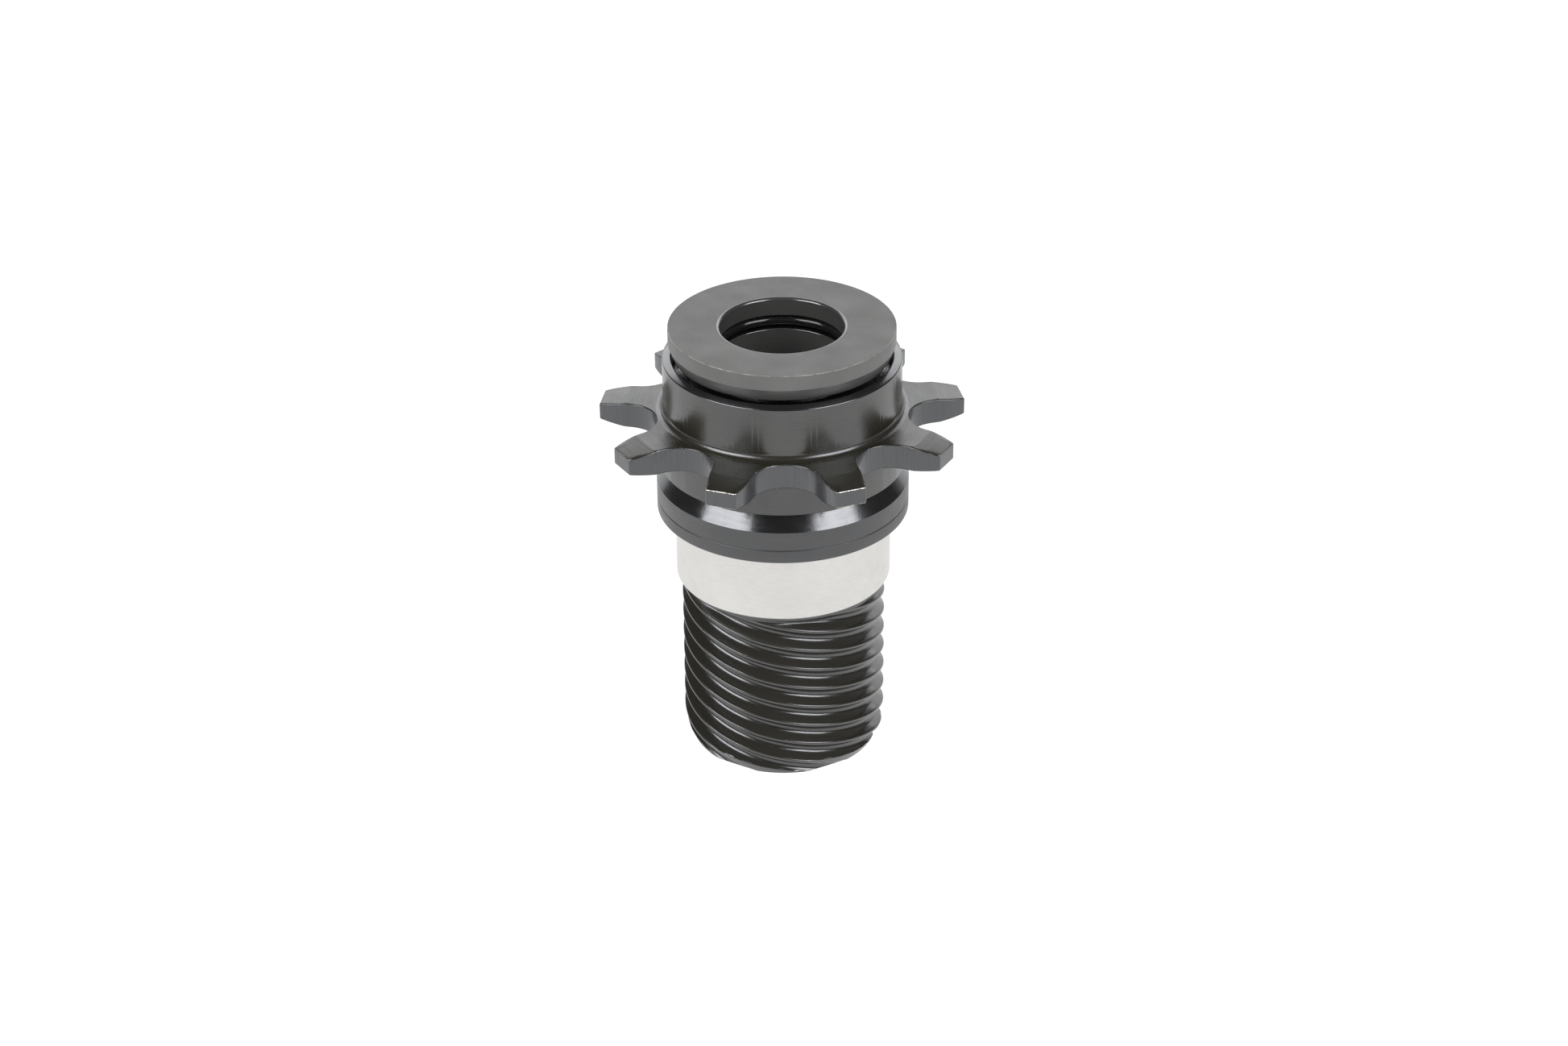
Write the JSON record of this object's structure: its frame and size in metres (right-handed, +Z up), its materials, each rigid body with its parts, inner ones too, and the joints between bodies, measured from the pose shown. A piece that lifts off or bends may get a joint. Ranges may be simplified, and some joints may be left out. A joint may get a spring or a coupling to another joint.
{
  "type": "sprocket hub driver",
  "caption": "Black steel hub driver with a chain sprocket, a coarse left-hand screw, a bright bearing sleeve, sealed ball bearings inside and an axle cone spacer",
  "frame": {"origin": "centre of the screw's end face, on which the part stands", "axes": "+Z runs up the axle from the screw to the cone spacer; -Y passes through the middle of a gullet between two sprocket teeth; +X completes the right-handed frame"},
  "size_m": [0.0422, 0.0415, 0.0533],
  "materials": {
    "black_steel": "black-oxide steel, satin, edges worn bright",
    "washer_steel": "black-oxide steel, satin",
    "bright_sleeve": "ground bright, fine grain round the axis",
    "spacer_steel": "fine matte dark grey",
    "seal_rubber": "smooth black rubber",
    "bearing_steel": "ground and polished bearing steel",
    "tube_aluminium": "plain turned",
    "cage_polymer": "moulded, matte"
  },
  "bodies": {
    "driver": {"driver_body": "black_steel", "shim_washer": "washer_steel", "bearing_sleeve": "bright_sleeve", "upper_outer_ring": "bearing_steel", "upper_seal_top": "seal_rubber", "upper_seal_bottom": "seal_rubber", "lower_outer_ring": "bearing_steel", "lower_seal_top": "seal_rubber", "lower_seal_bottom": "seal_rubber"},
    "axle_set": {"cone_spacer": "spacer_steel", "cone_o_ring": "seal_rubber", "upper_inner_ring": "bearing_steel", "spacer_tube": "tube_aluminium", "lower_inner_ring": "bearing_steel"},
    "upper_ball_set": {"upper_cage": "cage_polymer", "upper_ball_1": "bearing_steel", "upper_ball_2": "bearing_steel", "upper_ball_3": "bearing_steel", "upper_ball_4": "bearing_steel", "upper_ball_5": "bearing_steel", "upper_ball_6": "bearing_steel", "upper_ball_7": "bearing_steel", "upper_ball_8": "bearing_steel", "upper_ball_9": "bearing_steel", "upper_ball_10": "bearing_steel", "upper_ball_11": "bearing_steel", "upper_ball_12": "bearing_steel", "upper_ball_13": "bearing_steel", "upper_ball_14": "bearing_steel"},
    "lower_ball_set": {"lower_cage": "cage_polymer", "lower_ball_1": "bearing_steel", "lower_ball_2": "bearing_steel", "lower_ball_3": "bearing_steel", "lower_ball_4": "bearing_steel", "lower_ball_5": "bearing_steel", "lower_ball_6": "bearing_steel", "lower_ball_7": "bearing_steel", "lower_ball_8": "bearing_steel", "lower_ball_9": "bearing_steel", "lower_ball_10": "bearing_steel", "lower_ball_11": "bearing_steel", "lower_ball_12": "bearing_steel", "lower_ball_13": "bearing_steel", "lower_ball_14": "bearing_steel", "lower_ball_15": "bearing_steel", "lower_ball_16": "bearing_steel", "lower_ball_17": "bearing_steel", "lower_ball_18": "bearing_steel"}
  },
  "joints": [
    {"name": "axle_spin", "type": "hinge", "parent": "driver", "child": "axle_set", "pos_m": [0, 0, 0.0507], "axis": [0, 0, 1], "continuous": true},
    {"name": "upper_cage_spin", "type": "hinge", "parent": "driver", "child": "upper_ball_set", "pos_m": [0, 0, 0.0456], "axis": [0, 0, 1], "continuous": true},
    {"name": "lower_cage_spin", "type": "hinge", "parent": "driver", "child": "lower_ball_set", "pos_m": [0, 0, 0.0283], "axis": [0, 0, 1], "continuous": true}
  ],
  "couplings": [
    {"joint": "upper_cage_spin", "follows": "axle_spin", "ratio": 0.439},
    {"joint": "lower_cage_spin", "follows": "axle_spin", "ratio": 0.4558}
  ]
}
